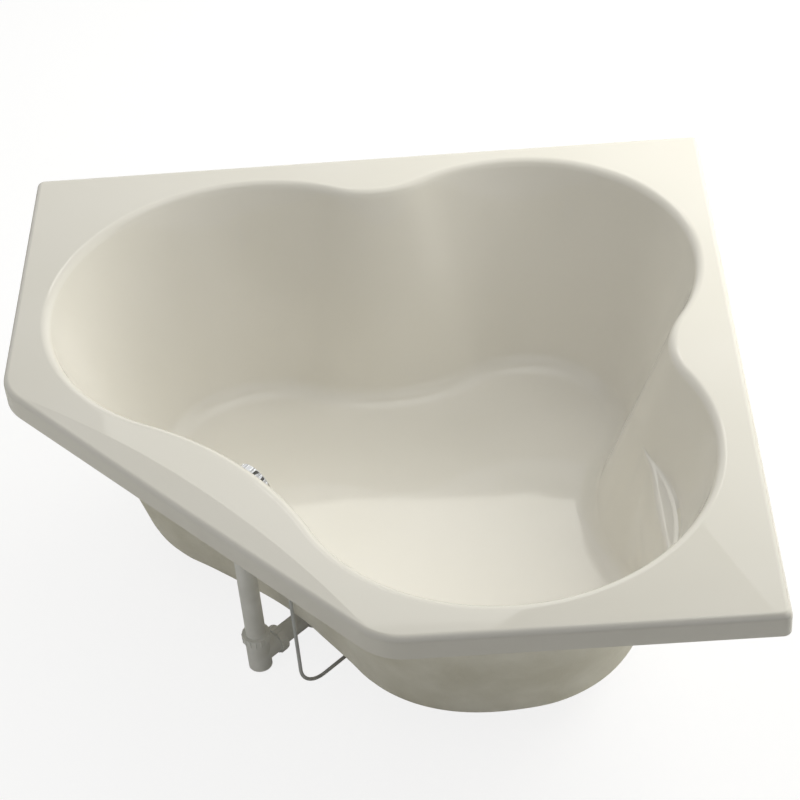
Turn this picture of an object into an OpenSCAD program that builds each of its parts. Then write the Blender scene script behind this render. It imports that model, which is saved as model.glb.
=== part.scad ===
// Drop-in corner soaking bath: a five-sided rim with a clover-shaped well, a drain in the
// floor and a turning overflow dial that lifts the drain stopper through a push cable.
// The two long sides stand against the room's walls and meet at +Y. The diagonal front faces -Y.
// The origin lies on the floor under the middle of the rim's box.

/* [Rim] */
// Length of each side that stands against a wall
wall_side = 1372; // [1340:1:1420]
// Length of each short side, square to its wall
short_side = 672; // [650:1:700]
// Depth of the lip that turns down round the rim
lip_h = 47; // [38:1:60]
// Radius of the rolled edge between deck and lip
edge_r = 12; // [9:0.5:14]
// Radius of the corner between the two walls
back_corner_r = 16; // [15:1:24]
// Radius of the two corners at the ends of the walls
side_corner_r = 16; // [15:1:24]
// Radius of the two front corners
front_corner_r = 110; // [80:1:130]
// Width of the crowned band along the front edge
crown_w = 50; // [30:1:60]
// Fall of the deck across that band
crown_drop = 3; // [0.5:0.5:4]

/* [Well] */
// Depth of the well floor below the rim
well_depth = 436; // [428:1:444]
// Width of the deck between the back lobe and the walls, where it is narrowest
back_deck_w = 32.5; // [30:0.5:40]
// Radius of the back lobe where the deck starts to roll over
back_lobe_r = 365; // [355:1:375]
// Width of the deck between a side lobe and its wall or short side, where it is narrowest
side_deck_w = 52.8; // [44:0.2:60]
// Radius of each side lobe
side_lobe_r = 397; // [388:1:402]
// Radius of the two bumps that face the walls
wall_bump_r = 166; // [150:1:190]
// Radius of the bump along the front
front_bump_r = 647; // [600:1:700]
// Radius of the roll from deck to well wall
well_roll_r = 22; // [18:1:26]
// Radius of the cove between well wall and floor
cove_r = 50; // [40:1:56]
// Lean of the well wall from upright
wall_lean = 19.5; // [17:0.5:21]
// Lean of the front wall, which carries the overflow
front_lean = 8; // [6:0.5:12]

/* [Arm ledge] */
// Depth of the ledge below the rim
ledge_depth = 186; // [150:1:220]
// Greatest width of the ledge
ledge_w = 28; // [15:1:34]
// Direction of the ledge's front end, from the middle of the bath
ledge_from = 9; // [5:1:14]
// Direction of the ledge's back end
ledge_to = 42; // [38:1:46]

/* [Shell] */
// Thickness of the moulded acrylic
acrylic_t = 4; // [3:0.5:5]
// Thickness of the glass-fibre backing
backing_t = 5; // [4:0.5:7]

/* [Base] */
// Thickness of the board bonded under the floor
board_t = 15; // [12:1:18]
// Distance of the board's edge inside the cove
board_margin = 10; // [6:1:30]
// Size of each square foot block
foot_size = 84; // [70:1:100]
// Diameter of the foot screws
foot_screw_d = 6; // [5:0.5:8]
// Depth of the battens under the deck
batten_h = 18; // [12:1:22]

/* [Drain] */
// Gap between the drain's dish and the cove at the foot of the front wall
drain_gap = 5; // [2:1:30]
// Radius of the hole in the floor
drain_hole_r = 26; // [25.5:0.25:27]
// Radius of the drain flange
flange_r = 36.5; // [35:0.5:38]
// Depth of the dish that the flange lies in
dish_depth = 3; // [2:0.5:4]
// Gap between the drain shoe's bottom and the floor of the room
shoe_bottom_z = 5; // [3:0.5:12]
// Outer radius of the flange's threaded throat
throat_r = 24; // [23.5:0.25:24.5]
// Wall of the throat
throat_wall = 3; // [2.5:0.25:3.5]
// Travel of the stopper
stopper_lift = 9; // [7:0.5:10]
// Radius of the stopper's lift pin
pin_r = 2.5; // [2:0.25:3]

/* [Pipes] */
// Outer radius of the waste and overflow tubes
tube_r = 19.05; // [18.5:0.05:19.5]
// Wall of the tubes
tube_wall = 1.2; // [1:0.1:2]
// Height of the waste tube's centre above the drain shoe's bottom
waste_rise = 28; // [27:0.5:29]
// Wall of the pipe sockets
socket_wall = 3.4; // [3:0.1:4]
// Depth that a tube enters a socket
socket_depth = 24; // [18:1:30]

/* [Overflow] */
// Depth of the overflow's centre below the rim
overflow_depth = 72; // [70:1:84]
// Radius of the overflow hole in the wall
overflow_hole_r = 28; // [26:0.5:30]
// Radius of the dial
dial_r = 40; // [37:0.5:43]
// Height of the dial's rim
dial_h = 15; // [12:0.5:18]
// Number of grip flutes round the dial
flute_count = 16; // [12:1:20]
// Depth of each flute
flute_depth = 1.4; // [0.8:0.1:1.6]
// Gap between the dial and the wall for the water
dial_gap = 6; // [5:0.5:9]
// Radius of the dial's shaft
shaft_r = 4; // [3:0.25:5]
// Greatest turn of the dial
dial_turn = 90; // [60:5:100]

/* [Cable drive] */
// Pitch radius of the dial's pinion
pinion_r = 6; // [5.5:0.5:6.5]
// Number of teeth on the pinion
pinion_teeth = 12; // [12:1:14]
// Face width of the pinion
pinion_w = 8; // [6:1:10]
// Radius of the push rods at both ends of the cable
rod_r = 3; // [2.5:0.25:3.25]
// Outer radius of the cable's conduit
conduit_r = 3.5; // [3:0.25:4]
// Radius of the conduit's bends
conduit_bend_r = 55; // [50:1:60]
// Distance of the conduit's long run from the middle of the bath
conduit_x = 120; // [115:1:130]

/* [Hidden] */
acrylic_colour = "#e6e2d3";
fibre_colour = "#e0dccd";
wood_colour = "#c9a97a";
chrome_colour = "#d4d6d9";
plastic_colour = "#e9e9e6";
rubber_colour = "#2e2e30";
brass_colour = "#c8a24e";
cable_colour = "#c4c6c6";
steel_colour = "silver";

// Small clearances, each named for where it is used
running_gap = 0.06;
slide_gap = 0.3;
seat_gap = 0.2;

root2 = sqrt(2);
wall_x = wall_side / root2;
front_y = -short_side / root2;
mid_y = (front_y + wall_x - back_corner_r * (root2 - 1)) / 2;
skin_t = acrylic_t + backing_t;
shoe_to_lever = 25;
lever_to_seat = 39;
lever_z = shoe_bottom_z + shoe_to_lever;
waste_z = shoe_bottom_z + waste_rise;
seat_z = lever_z + lever_to_seat;
floor_z = seat_z + dish_depth;
bath_h = floor_z + well_depth;
floor_under_z = floor_z - skin_t;
board_z = floor_under_z - board_t;
ray_step = 4.8;

function unit(v) = v / norm(v);
function turn_of(p) = atan2(p[1], p[0]);
function steps_between(a, b, step) = let (n = max(1, ceil(abs(b - a) / step)))
    [for (k = [0:n - 1]) a + (b - a) * k / n];
function smooth(t) = let (u = min(1, max(0, t))) u * u * (3 - 2 * u);

// Where a ray from the middle of the bath leaves a circle that holds it, or meets one that doesn't
function far_hit(dir, c, r) = let (along = dir * c) along + sqrt(along * along - c * c + r * r);
function near_hit(dir, c, r) = let (along = dir * c) along - sqrt(along * along - c * c + r * r);

// Outline of the rim on the right half, as [point, inward normal]
back_c = [0, wall_x - back_corner_r * root2];
side_c = [wall_x - side_corner_r * root2, 0];
front_c = [wall_x + front_y - front_corner_r * (root2 - 1), front_y + front_corner_r];
rim_a1 = turn_of(back_c + back_corner_r * [1, 1] / root2);
rim_a2 = turn_of(side_c + side_corner_r * [1, 1] / root2);
rim_a3 = turn_of(side_c + side_corner_r * [1, -1] / root2);
rim_a4 = turn_of(front_c + front_corner_r * [1, -1] / root2);
rim_a5 = turn_of(front_c + front_corner_r * [0, -1]);
function rim_corner(dir, c, r) = let (p = dir * far_hit(dir, c, r)) [p, (c - p) / r];
function rim_right(a) = let (dir = [cos(a), sin(a)])
    a >= rim_a1 - 0.001 ? rim_corner(dir, back_c, back_corner_r) :
    a >= rim_a2 + 0.001 ? [dir * wall_x / (dir[0] + dir[1]), [-1, -1] / root2] :
    a >= rim_a3 - 0.001 ? rim_corner(dir, side_c, side_corner_r) :
    a >= rim_a4 + 0.001 ? [dir * wall_x / (dir[0] - dir[1]), [-1, 1] / root2] :
    a >= rim_a5 - 0.001 ? rim_corner(dir, front_c, front_corner_r) :
    [dir * front_y / dir[1], [0, 1]];

// Outline of the well on the right half where the deck starts to roll over
back_lobe_y = wall_x - (back_lobe_r + back_deck_w) * root2;
side_lobe_x = wall_x - (side_lobe_r + side_deck_w) * root2;
back_lobe = [0, back_lobe_y];
side_lobe = [side_lobe_x, 0];
lobe_line = unit(side_lobe - back_lobe);
lobe_gap = norm(side_lobe - back_lobe);
back_reach = back_lobe_r + wall_bump_r;
side_reach = side_lobe_r + wall_bump_r;
bump_along = (back_reach * back_reach - side_reach * side_reach + lobe_gap * lobe_gap) / (2 * lobe_gap);
bump_out = sqrt(back_reach * back_reach - bump_along * bump_along);
wall_bump = back_lobe + lobe_line * bump_along + [-lobe_line[1], lobe_line[0]] * bump_out;
front_bump = [0, -sqrt(pow(side_lobe_r + front_bump_r, 2) - side_lobe_x * side_lobe_x)];
well_a1 = turn_of(back_lobe + unit(wall_bump - back_lobe) * back_lobe_r);
well_a2 = turn_of(side_lobe + unit(wall_bump - side_lobe) * side_lobe_r);
well_a3 = turn_of(side_lobe + unit(front_bump - side_lobe) * side_lobe_r);
function lobe_hit(dir, c, r) = let (p = dir * far_hit(dir, c, r)) [p, (c - p) / r];
function bump_hit(dir, c, r) = let (p = dir * near_hit(dir, c, r)) [p, (p - c) / r];
function well_right(a) = let (dir = [cos(a), sin(a)])
    a >= well_a1 ? lobe_hit(dir, back_lobe, back_lobe_r) :
    a >= well_a2 ? bump_hit(dir, wall_bump, wall_bump_r) :
    a >= well_a3 ? lobe_hit(dir, side_lobe, side_lobe_r) :
    bump_hit(dir, front_bump, front_bump_r);

// Both outlines all the way round, by mirroring the right half
function flip(v) = [-v[0], v[1]];
function on_right(a) = a <= 90;
function mirrored(pair) = [flip(pair[0]), flip(pair[1])];
function rim_at(a) = on_right(a) ? rim_right(a) : mirrored(rim_right(180 - a));
function well_at(a) = on_right(a) ? well_right(a) : mirrored(well_right(180 - a));

// Directions of the sections, dense at the rim's corners, from the front round to the front again
half_rays = concat(
    steps_between(-90, rim_a5, ray_step),
    steps_between(rim_a5, rim_a4, 1.6),
    steps_between(rim_a4, rim_a3, ray_step),
    steps_between(rim_a3, rim_a2, 1),
    steps_between(rim_a2, rim_a1, ray_step),
    steps_between(rim_a1, 90, 1));
half_count = len(half_rays);
rays = concat(half_rays, [for (k = [0:half_count - 1]) 180 - (k == 0 ? 90 : half_rays[half_count - k])]);

// Lean of the wall and width of the arm ledge in each direction
front_turn_from = 20;
front_turn_span = 55;
function below_side(a) = on_right(a) ? -a : a - 180;
function front_share(a) = smooth((below_side(a) - front_turn_from) / front_turn_span);
function lean_at(a) = wall_lean + (front_lean - wall_lean) * front_share(a);
function ledge_share(a) = (a - ledge_from) / (ledge_to - ledge_from);
function ledge_at(a) = a > ledge_from && a < ledge_to ? ledge_w * sin(180 * ledge_share(a)) : 0;

// The well's section: inset from the roll's start, and depth below the rim
function roll_end_depth(lean) = well_roll_r * (1 - sin(lean));
function wall_inset(lean, depth) = well_roll_r * cos(lean) + tan(lean) * (depth - roll_end_depth(lean));
function cove_top_depth(lean) = well_depth - cove_r * (1 - sin(lean));
function cove_centre(lean) = wall_inset(lean, cove_top_depth(lean)) + cove_r * cos(lean);

// A point inset from an outline, given as [point, inward normal], at a depth below the rim
function inset_point(line, inset, depth) = [
    line[0][0] + line[1][0] * inset,
    line[0][1] + line[1][1] * inset - mid_y,
    bath_h - depth];
crown_turn = 35;
function crown_band(inset) = 1 - min(1, max(0, inset - edge_r) / crown_w);
function crown_depth(a, inset) =
    crown_drop * smooth(below_side(a) / crown_turn) * pow(crown_band(inset), 2);
function between(p, q, t) = p + (q - p) * t;

// Deck point at a share of the way from the rolled edge to the well's roll
function deck_point(a, rim, well, share, under) = let (
    outer = rim[0] + rim[1] * edge_r,
    p = between(outer, well[0], share),
    inset = edge_r + (p - outer) * rim[1])
    [p[0], p[1] - mid_y, bath_h - crown_depth(a, inset) - under];

// Steps of a section: the face that shows is fine, and the hidden faces are coarser
FACE = 0;
HIDDEN = 1;
edge_angles = [[0, 25, 50, 72], [0, 55]];
crown_shares = [[0, 0.15, 0.35, 0.65, 1], [0, 0.35, 1]];
roll_shares = [[0.25, 0.5, 0.75, 1], [0.35, 0.7, 1]];
cove_shares = [[0, 0.25, 0.5, 0.75, 1], [0, 0.5, 1]];
ledge_steps = [
    [[-14, 0], [-6, 0.08], [0, 0.35], [8, 0.85], [12, 0.97], [20, 1]],
    [[-14, 0], [0, 0.35], [8, 0.85], [20, 1]]];
dish_slope = 8;
dish_land = 4;
dish_lip_r = flange_r + dish_land;
dish_r = dish_lip_r + dish_slope;
overflow_lean = lean_at(-90);
front_wall_y = front_bump[1] + front_bump_r;
front_floor_y = front_wall_y + cove_centre(overflow_lean);
drain_xy = [0, front_floor_y + dish_r + drain_gap];

function toward_drain(p, r) = drain_xy + unit(p - drain_xy) * r;
function floor_point(p, under, depth) = [p[0], p[1] - mid_y, bath_h - depth - under];

// Parts of one section, set back by under from the face that shows
function lip_part(a, under, kind) = let (rim = rim_at(a), drop = crown_depth(a, edge_r), r = edge_r - under)
    concat([inset_point(rim, under, lip_h)],
        [for (f = edge_angles[kind]) inset_point(rim, edge_r - r * cos(f), edge_r + drop - r * sin(f))]);
function deck_part(a, under, kind) = let (rim = rim_at(a), well = well_at(a))
    [for (s = crown_shares[kind]) deck_point(a, rim, well, s, under)];
function roll_part(a, under, kind) = let (
    well = well_at(a),
    turn = 90 - lean_at(a),
    r = well_roll_r - under)
    [for (s = roll_shares[kind]) inset_point(well, r * sin(s * turn), well_roll_r - r * cos(s * turn))];
function wall_part(a, under, kind) = let (well = well_at(a), lean = lean_at(a), ledge = ledge_at(a))
    [for (q = ledge_steps[kind]) let (
        depth = ledge_depth + q[0],
        lower = q[1] > 0.5 ? under * ledge / ledge_w : 0)
        inset_point(well, wall_inset(lean, depth) + ledge * q[1] - under / cos(lean), depth + lower)];
function cove_part(a, under, kind) = let (well = well_at(a), lean = lean_at(a), r = cove_r + under)
    [for (s = cove_shares[kind]) let (f = lean + s * (90 - lean))
        inset_point(well, cove_centre(lean) - r * cos(f), well_depth - cove_r + r * sin(f))];
function floor_part(a, under) = let (
    well = well_at(a),
    edge = well[0] + well[1] * cove_centre(lean_at(a)))
    [floor_point(toward_drain(edge, dish_r), under, well_depth),
     floor_point(toward_drain(edge, dish_lip_r), under, well_depth + dish_depth),
     floor_point(toward_drain(edge, drain_hole_r), under, well_depth + dish_depth)];
function deck_to_drain(a, under, kind) = concat(deck_part(a, under, kind), roll_part(a, under, kind),
    wall_part(a, under, kind), cove_part(a, under, kind), floor_part(a, under));
function reversed(list) = [for (k = [len(list) - 1:-1:0]) list[k]];

// Closed skin through a ring of sections, each made of a front and of a back run in the same order.
// Both runs split their quads along the same diagonal, so that two skins meet without a gap.
module ring_of_sections(fronts, backs) {
    n = len(fronts);
    front_count = len(fronts[0]);
    m = front_count + len(backs[0]);
    points = [for (i = [0:n - 1]) for (p = concat(fronts[i], reversed(backs[i]))) p];
    faces = [for (i = [0:n - 1]) for (k = [0:m - 1]) let (
        a = i * m + k,
        b = i * m + (k + 1) % m,
        c = ((i + 1) % n) * m + (k + 1) % m,
        d = ((i + 1) % n) * m + k)
        each (k < front_count ? [[a, b, c], [a, c, d]] : [[a, b, d], [b, c, d]])];
    polyhedron(points = points, faces = faces, convexity = 10);
}

// Overflow frame: its Z runs out of the front wall into the well, and its Y points down the wall
overflow_y = front_wall_y + wall_inset(overflow_lean, overflow_depth) - mid_y;
overflow_at = [0, overflow_y, bath_h - overflow_depth];
module at_overflow() {
    translate(overflow_at) rotate([overflow_lean - 90, 0, 0]) children();
}
function overflow_world(p) = overflow_at + [
    p[0],
    p[1] * sin(overflow_lean) + p[2] * cos(overflow_lean),
    p[2] * sin(overflow_lean) - p[1] * cos(overflow_lean)];

module overflow_hole() {
    at_overflow() cylinder(r = overflow_hole_r, h = 3 * skin_t, center = true);
}

module tub_shell() color(acrylic_colour) difference() {
    ring_of_sections(
        [for (a = rays) concat(lip_part(a, 0, FACE), deck_to_drain(a, 0, FACE))],
        [for (a = rays) concat(lip_part(a, acrylic_t, HIDDEN), deck_to_drain(a, acrylic_t, HIDDEN))]);
    overflow_hole();
}

module glassfibre_backing() color(fibre_colour) difference() {
    ring_of_sections(
        [for (a = rays) deck_to_drain(a, acrylic_t, HIDDEN)],
        [for (a = rays) deck_to_drain(a, skin_t, HIDDEN)]);
    overflow_hole();
}

// Battens bonded under the deck, one along each side of the rim
front_x = wall_x + front_y;
rim_corners = [[-front_x, front_y], [front_x, front_y], [wall_x, 0], [0, wall_x], [-wall_x, 0]];
narrow_deck = min(back_deck_w, side_deck_w);
batten_inset = edge_r + seat_gap;
batten_w = narrow_deck - batten_inset - seat_gap;
round_trim = front_corner_r * tan(22.5) + batten_w / 2;
square_trim = batten_inset + batten_w + batten_h / 2;
batten_trims = [round_trim, round_trim, square_trim, square_trim, square_trim];
batten_drops = [crown_drop, crown_drop, 0, 0, crown_drop];
module batten(from, to, from_trim, to_trim, top_z) {
    along = unit(to - from);
    start = from + along * from_trim;
    translate([start[0], start[1] - mid_y, top_z - batten_h]) rotate(turn_of(along))
        translate([0, batten_inset, 0]) cube([norm(to - from) - from_trim - to_trim, batten_w, batten_h]);
}
glue_line = 0.1;
batten_top_z = bath_h - skin_t - glue_line;
module rim_battens() color(wood_colour) for (n = [0:4]) let (next = (n + 1) % 5, drop = batten_drops[n])
    batten(rim_corners[n], rim_corners[next], batten_trims[n], batten_trims[next], batten_top_z - drop);

// Board bonded under the floor, open round the drain and toward the front
drain_y = drain_xy[1] - mid_y;
floor_outline = [for (a = rays)
    let (p = inset_point(well_at(a), cove_centre(lean_at(a)) + board_margin, well_depth)) [p[0], p[1]]];
board_hole_margin = 8;
board_hole_r = dish_r + board_hole_margin;
board_slot_w = 76;
module base_board() color(wood_colour) translate([0, 0, board_z]) difference() {
    linear_extrude(board_t) polygon(floor_outline);
    translate([0, drain_y, -1]) cylinder(r = board_hole_r, h = board_t + 2);
    translate([-board_slot_w / 2, drain_y - side_lobe_r, -1])
        cube([board_slot_w, side_lobe_r, board_t + 2]);
    at_foot_screws() translate([0, 0, -1])
        cylinder(r = foot_screw_d / 2 + running_gap, h = screw_bite + seat_gap + 1);
}

// Foot blocks screwed up into the board; they are cut to height, so nothing turns
foot_back = 430;
foot_middle = 190;
foot_side = [360, 20];
foot_front = [190, -80];
foot_places = [[0, foot_back], [0, foot_middle], foot_side, flip(foot_side), foot_front, flip(foot_front)];
foot_screw_pitch = 44;
foot_recess = 8;
foot_recess_gap = 2;
foot_recess_r = foot_screw_d + foot_recess_gap;
foot_chamfer = 6;
screw_bite = board_t * 0.6;
screw_head_h = foot_screw_d * 0.6;
screw_head_r = foot_screw_d * 0.95;
module at_feet() {
    for (p = foot_places) translate([p[0], p[1] - mid_y, 0]) children();
}
module at_foot_screws() {
    at_feet() for (side = [-1, 1]) translate([side * foot_screw_pitch / 2, 0, 0]) children();
}
module foot_outline() {
    half = foot_size / 2;
    cut = half - foot_chamfer;
    polygon([
        [-half, -cut], [-cut, -half], [cut, -half], [half, -cut],
        [half, cut], [cut, half], [-cut, half], [-half, cut]]);
}
module foot_blocks() color(plastic_colour) difference() {
    at_feet() linear_extrude(board_z) foot_outline();
    at_foot_screws() translate([0, 0, -1]) {
        cylinder(r = foot_recess_r, h = foot_recess + 1);
        cylinder(r = foot_screw_d / 2 + seat_gap, h = board_z + 2);
    }
}
module foot_screws() color(steel_colour) at_foot_screws() {
    translate([0, 0, foot_recess - screw_head_h]) cylinder(r = screw_head_r, h = screw_head_h);
    translate([0, 0, foot_recess]) cylinder(r = foot_screw_d / 2, h = board_z + screw_bite - foot_recess);
}

// Drain flange: a threaded chrome cup with a cross that guides the stopper's pin
flange_t = 3;
throat_len = 28;
throat_bore_r = throat_r - throat_wall;
guide_z = -20;
guide_h = 6;
guide_w = 4;
guide_hub_wall = 3;
guide_hub_r = pin_r + guide_hub_wall;
module at_drain() {
    translate([0, drain_y, seat_z]) children();
}
module drain_flange() color(chrome_colour) at_drain() {
    rotate_extrude($fn = 96) polygon([
        [throat_bore_r, -throat_len], [throat_r, -throat_len], [throat_r, 0],
        [flange_r, 0], [flange_r, flange_t * 0.4], [flange_r - flange_t, flange_t],
        [throat_bore_r + flange_t, flange_t], [throat_bore_r, flange_t - 2]]);
    translate([0, 0, guide_z]) difference() {
        union() {
            cylinder(r = guide_hub_r, h = guide_h);
            intersection() {
                cylinder(r = throat_bore_r + throat_wall / 2, h = guide_h);
                for (turn = [45, 135]) rotate(turn)
                    translate([-throat_r, -guide_w / 2, 0]) cube([2 * throat_r, guide_w, guide_h]);
            }
        }
        translate([0, 0, -1]) cylinder(r = pin_r + running_gap, h = guide_h + 2);
    }
}

// Rubber ring between the floor's underside and the shoe
ring_t = 3;
ring_gap = 1;
shoe_flange_r = flange_r - ring_gap;
ring_top_z = seat_z - skin_t;
module drain_sealing_ring() color(rubber_colour) translate([0, drain_y, ring_top_z - ring_t])
    rotate_extrude($fn = 96) translate([throat_r + ring_gap, 0])
        square([shoe_flange_r - throat_r - ring_gap, ring_t]);

// Drain shoe: a bowl under the floor with the waste socket, two posts for the lever and the cable's gland
shoe_top_z = ring_top_z - ring_t;
shoe_wall = 3.3;
shoe_bore_r = throat_r + seat_gap;
shoe_r = shoe_bore_r + shoe_wall;
shoe_flange_t = 4;
tube_bore_r = tube_r - tube_wall;
socket_bore_r = tube_r + seat_gap / 2;
socket_r = socket_bore_r + socket_wall;
socket_neck = 3;
shoe_socket_end = drain_y - shoe_r - socket_neck - socket_depth;

// Lever geometry: half the stopper's travel above and half below level
lever_x = 15;
lever_tip_r = 3;
lever_w = 6;
lever_half_turn = asin(stopper_lift / 2 / lever_x);
drive_travel = pinion_r * dial_turn * PI / 180;
lever_drop = drive_travel / 2 / sin(lever_half_turn);
push_tip_r = 2.5;
axle_r = 1.5;
lever_side_gap = 1;
post_gap = lever_w / 2 + lever_side_gap;
post_w = 3;
post_half = 5;
post_z = shoe_bottom_z + 1;
plunger_z = lever_z - lever_drop * cos(lever_half_turn);
plunger_x = lever_x + drive_travel / 2 + push_tip_r + slide_gap;
gland_wall = 3.4;
gland_r = rod_r + gland_wall;
gland_end_x = 56;
module drain_shoe() color(plastic_colour) difference() {
    union() {
        translate([0, drain_y, shoe_bottom_z]) difference() {
            union() {
                cylinder(r = shoe_r, h = shoe_top_z - shoe_bottom_z);
                translate([0, 0, shoe_top_z - shoe_bottom_z - shoe_flange_t])
                    cylinder(r = shoe_flange_r, h = shoe_flange_t);
                translate([0, 0, waste_z - shoe_bottom_z]) rotate([90, 0, 0])
                    cylinder(r = socket_r, h = drain_y - shoe_socket_end);
                translate([0, 0, plunger_z - shoe_bottom_z]) rotate([0, 90, 0])
                    cylinder(r = gland_r, h = gland_end_x);
            }
            translate([0, 0, shoe_wall]) cylinder(r = shoe_bore_r, h = shoe_top_z);
            translate([0, 0, waste_z - shoe_bottom_z]) rotate([90, 0, 0]) {
                cylinder(r = tube_bore_r, h = drain_y - shoe_socket_end + 1);
                translate([0, 0, shoe_r + socket_neck]) cylinder(r = socket_bore_r, h = socket_depth + 1);
            }
        }
        for (side = [-1, 1]) translate([lever_x, drain_y + side * (post_gap + post_w / 2), post_z])
            translate([-post_half, -post_w / 2, 0])
                cube([2 * post_half, post_w, lever_z + post_half - post_z]);
    }
    translate([shoe_r / 2, drain_y, plunger_z]) rotate([0, 90, 0])
        cylinder(r = rod_r + running_gap, h = gland_end_x);
    translate([lever_x, drain_y - post_gap - post_w - 1, lever_z]) rotate([-90, 0, 0])
        cylinder(r = axle_r + running_gap / 2, h = 2 * (post_gap + post_w + 1));
}

// Stopper: a domed cap, its seal and the pin that the lever lifts
cap_r = 30;
cap_edge = 2;
cap_crown = 6;
seal_t = 2;
seal_gap = 0.2;
seal_in_r = 17;
seal_over = 5;
seal_out_r = throat_bore_r + seal_over;
cap_z = flange_t + seal_gap + seal_t;
pin_top_z = cap_z + cap_crown - 2;
pin_bottom_z = lever_z - stopper_lift / 2 + lever_tip_r + slide_gap;
dome_r = (cap_r * cap_r + pow(cap_crown - cap_edge, 2)) / 2 / (cap_crown - cap_edge);
module stopper_cap() color(chrome_colour) at_drain() translate([0, 0, cap_z]) difference() {
    intersection() {
        cylinder(r = cap_r, h = cap_crown);
        translate([0, 0, cap_crown - dome_r]) sphere(r = dome_r, $fn = 128);
    }
    translate([0, 0, -1]) cylinder(r = pin_r + seat_gap / 2, h = pin_top_z - cap_z + 1);
}
module stopper_seal() color(rubber_colour) at_drain() translate([0, 0, cap_z - seal_t])
    rotate_extrude($fn = 96) polygon([
        [seal_in_r, 0], [seal_out_r - 1, 0], [seal_out_r, 1], [seal_out_r, seal_t], [seal_in_r, seal_t]]);
module stopper_pin() color(brass_colour) translate([0, drain_y, pin_bottom_z])
    cylinder(r = pin_r, h = seat_z + pin_top_z - pin_bottom_z);

// Bell crank: one arm lies under the stopper's pin, the other meets the cable's plunger
lever_hub_r = 4.5;
arm_share = 0.7;
module lever_arm(length, tip_r) {
    translate([length, 0]) circle(r = tip_r, $fn = 48);
    hub_half = lever_hub_r * arm_share;
    tip_half = tip_r * arm_share;
    polygon([[0, -hub_half], [length, -tip_half], [length, tip_half], [0, hub_half]]);
}
module lift_lever() color(brass_colour)
    translate([lever_x, drain_y + lever_w / 2, lever_z]) rotate([90, 0, 0]) rotate(lever_half_turn)
        linear_extrude(lever_w) difference() {
            union() {
                circle(r = lever_hub_r, $fn = 64);
                rotate(180) lever_arm(lever_x, lever_tip_r);
                rotate(-90) lever_arm(lever_drop, push_tip_r);
            }
            circle(r = axle_r + running_gap, $fn = 48);
        }
module lever_axle() color(steel_colour) translate([lever_x, drain_y, lever_z]) rotate([-90, 0, 0])
    cylinder(r = axle_r, h = 2 * (post_gap + post_w), center = true);
plunger_len = 22;
plunger_nose = 1.2;
module cable_plunger() color(steel_colour) translate([plunger_x, drain_y, plunger_z]) rotate([0, 90, 0]) {
    cylinder(r1 = rod_r - plunger_nose, r2 = rod_r, h = plunger_nose);
    translate([0, 0, plunger_nose]) cylinder(r = rod_r, h = plunger_len - plunger_nose);
}

// Tooth sizes of the pinion and rack; the rack runs above the shaft
tooth_pitch = 2 * PI * pinion_r / pinion_teeth;
pressure_angle = 25;
tooth_backlash = 0.25;
tooth_top = tooth_pitch / PI * 0.85;
tooth_root = tooth_pitch / PI * 1.15;
base_r = pinion_r * cos(pressure_angle);
tip_r = pinion_r + tooth_top;
root_r = pinion_r - tooth_root;
rack_back = 3;
rack_back_y = -pinion_r - tooth_root - rack_back;
rod_y = rack_back_y + rack_back / 2;

// Overflow stack, measured along the overflow frame's Z, from the well face backward
wall_back_r = front_bump_r + wall_inset(overflow_lean, overflow_depth) - skin_t / cos(overflow_lean);
gasket_t = 5;
elbow_face = -skin_t - gasket_t;
elbow_flange_r = 38;
elbow_flange_t = 4;
elbow_bore_r = 28;
elbow_wall = 3;
elbow_r = elbow_bore_r + elbow_wall;
elbow_back = elbow_face - 58;
spider_z = elbow_face - 6;
spider_t = 6;
spider_w = 7;
hub_wall = 4;
spider_hub_r = shaft_r + hub_wall;
plate_screw_x = 18;
pinion_z = elbow_face - 26;
elbow_mid = elbow_face - 23;
elbow_mid_at = overflow_world([0, 0, elbow_mid]);
tube_y = elbow_mid_at[1];
elbow_socket_z = elbow_mid_at[2] - elbow_r - socket_neck - socket_depth;
guide_half = 12;
guide_to = 5;
rod_bore_from = 16;
rack_z = pinion_z + pinion_w / 2;
module overflow_gasket() color(rubber_colour) at_overflow() intersection() {
    translate([0, 0, elbow_face]) rotate_extrude($fn = 96) translate([elbow_bore_r + 1, 0])
        square([elbow_flange_r - elbow_bore_r - 1, gasket_t + 1]);
    translate([0, 0, -skin_t - wall_back_r - seat_gap]) rotate([90, 0, 0])
        cylinder(r = wall_back_r, h = 3 * elbow_flange_r, center = true, $fn = 720);
}
cover_boss_r = 4;
cover_boss_h = 14;
cover_boss_out = 2;
cover_screw_r = 1.5;
cover_screw_bite = 8;
cover_bore_h = cover_screw_bite + 2;
module at_cover_screws() {
    for (turn = [180:90:360]) rotate(turn) translate([elbow_r + cover_boss_out, 0, elbow_back]) children();
}
module at_plate_screws() {
    for (side = [-1, 1]) translate([side * plate_screw_x, 0, 0]) children();
}
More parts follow.
